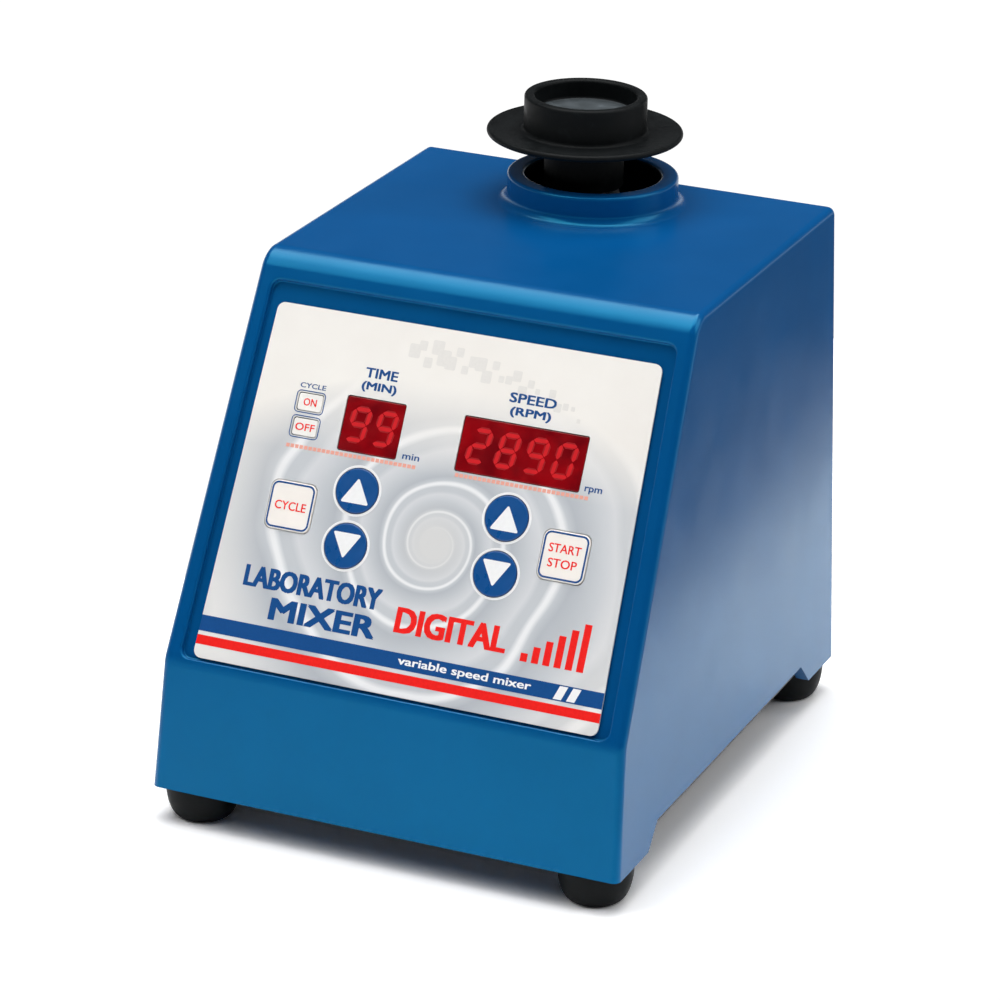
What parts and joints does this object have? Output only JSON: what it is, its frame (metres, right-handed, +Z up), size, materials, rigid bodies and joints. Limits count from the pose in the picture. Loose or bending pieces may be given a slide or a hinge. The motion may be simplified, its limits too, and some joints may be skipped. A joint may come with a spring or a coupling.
{
  "type": "vortex mixer",
  "caption": "Bench-top vortex mixer: a wedge-shaped cast housing with a sloping digital key panel and an orbiting rubber cup on top that shakes a test tube.",
  "frame": {"origin": "on the floor at the centre of the footprint, under the four feet", "axes": "+Z up; the control panel faces -Y, the mains inlet faces +Y, +X is to the right of someone who faces the panel"},
  "size_m": [0.124, 0.1541, 0.1615],
  "materials": {
    "blue_paint": "semi-gloss blue enamel on a cast shell",
    "rubber": "matt black rubber",
    "overlay_film": "printed polyester film, off-white with blue and red print",
    "red_filter": "dark red filter, lit from behind",
    "light_guide": "clear acrylic, lit from behind",
    "blue_key": "moulded blue keycap",
    "white_key": "moulded off-white keycap",
    "circuit_board": "green solder mask",
    "display_module": "dark grey moulding",
    "black_plastic": "fine moulded texture",
    "black_steel": "black powder coat",
    "plated_steel": "zinc plated",
    "bright_steel": "ground",
    "aluminium": "turned",
    "brass": "nickel-free contact brass",
    "copper": "wound copper on a laminated core",
    "grey_cable": "flat ribbon cable"
  },
  "bodies": {
    "chassis": {"housing_shell": "blue_paint", "base_plate": "black_steel", "foot_front_left": "rubber", "foot_front_right": "rubber", "foot_back_left": "rubber", "foot_back_right": "rubber", "foot_screw_front_left": "plated_steel", "foot_screw_front_right": "plated_steel", "foot_screw_back_left": "plated_steel", "foot_screw_back_right": "plated_steel", "panel_overlay": "overlay_film", "time_display_window": "red_filter", "speed_display_window": "red_filter", "interval_on_light_guide": "light_guide", "interval_off_light_guide": "light_guide", "time_display_module": "display_module", "speed_display_module": "display_module", "display_board": "circuit_board", "display_board_screw_left": "plated_steel", "display_board_screw_right": "plated_steel", "display_ribbon_cable": "grey_cable", "time_up_switch": "black_plastic", "time_down_switch": "black_plastic", "speed_up_switch": "black_plastic", "speed_down_switch": "black_plastic", "interval_switch": "black_plastic", "start_stop_switch": "black_plastic", "power_inlet": "black_plastic", "inlet_pin_live": "brass", "inlet_pin_neutral": "brass", "inlet_pin_earth": "brass", "power_switch_body": "black_plastic", "power_board": "circuit_board", "power_transformer": "plated_steel", "motor_can": "plated_steel", "motor_end_bell": "aluminium", "lower_motor_bearing": "bright_steel", "upper_motor_bearing": "bright_steel", "motor_mount_plate": "plated_steel", "motor_isolator_left": "rubber", "motor_isolator_right": "rubber", "motor_isolator_front": "rubber", "motor_mount_screw_left": "plated_steel", "motor_mount_screw_right": "plated_steel", "motor_mount_screw_front": "plated_steel"},
    "rotor": {"motor_shaft": "bright_steel", "motor_armature": "copper", "cooling_fan": "black_plastic", "eccentric_hub": "plated_steel"},
    "head": {"head_bearing": "bright_steel", "head_hub": "aluminium", "restraint_plate": "plated_steel"},
    "cup": {"mixing_cup": "rubber"},
    "time_up_button": {"time_up_key": "blue_key"},
    "time_down_button": {"time_down_key": "blue_key"},
    "speed_up_button": {"speed_up_key": "blue_key"},
    "speed_down_button": {"speed_down_key": "blue_key"},
    "interval_button": {"interval_key": "white_key"},
    "start_stop_button": {"start_stop_key": "white_key"},
    "rocker": {"power_rocker": "black_plastic"}
  },
  "joints": [
    {"name": "rotor_spin", "type": "hinge", "parent": "chassis", "child": "rotor", "pos_m": [0, 0.048, 0.104], "axis": [0, 0, 1], "continuous": true},
    {"name": "head_orbit", "type": "hinge", "parent": "rotor", "child": "head", "pos_m": [-0.00301, 0.04909, 0.125], "axis": [0, 0, 1], "continuous": true},
    {"name": "cup_lift", "type": "slide", "parent": "head", "child": "cup", "axis": [0, 0, 1], "range_m": [0, 0.03]},
    {"name": "time_up_press", "type": "slide", "parent": "chassis", "child": "time_up_button", "axis": [0, 0.8858, -0.4641], "range_m": [0, 0.0005], "stiffness_N_per_m": 2000, "springref_m": -0.0005},
    {"name": "time_down_press", "type": "slide", "parent": "chassis", "child": "time_down_button", "axis": [0, 0.8858, -0.4641], "range_m": [0, 0.0005], "stiffness_N_per_m": 2000, "springref_m": -0.0005},
    {"name": "speed_up_press", "type": "slide", "parent": "chassis", "child": "speed_up_button", "axis": [0, 0.8858, -0.4641], "range_m": [0, 0.0005], "stiffness_N_per_m": 2000, "springref_m": -0.0005},
    {"name": "speed_down_press", "type": "slide", "parent": "chassis", "child": "speed_down_button", "axis": [0, 0.8858, -0.4641], "range_m": [0, 0.0005], "stiffness_N_per_m": 2000, "springref_m": -0.0005},
    {"name": "interval_press", "type": "slide", "parent": "chassis", "child": "interval_button", "axis": [0, 0.8858, -0.4641], "range_m": [0, 0.0005], "stiffness_N_per_m": 2000, "springref_m": -0.0005},
    {"name": "start_stop_press", "type": "slide", "parent": "chassis", "child": "start_stop_button", "axis": [0, 0.8858, -0.4641], "range_m": [0, 0.0005], "stiffness_N_per_m": 2000, "springref_m": -0.0005},
    {"name": "power_rock", "type": "hinge", "parent": "chassis", "child": "rocker", "pos_m": [-0.033, 0.07244, 0.04591], "axis": [-1, 0, 0], "range_deg": [0, 16]}
  ],
  "couplings": [
    {"joint": "head_orbit", "follows": "rotor_spin", "ratio": -1}
  ]
}
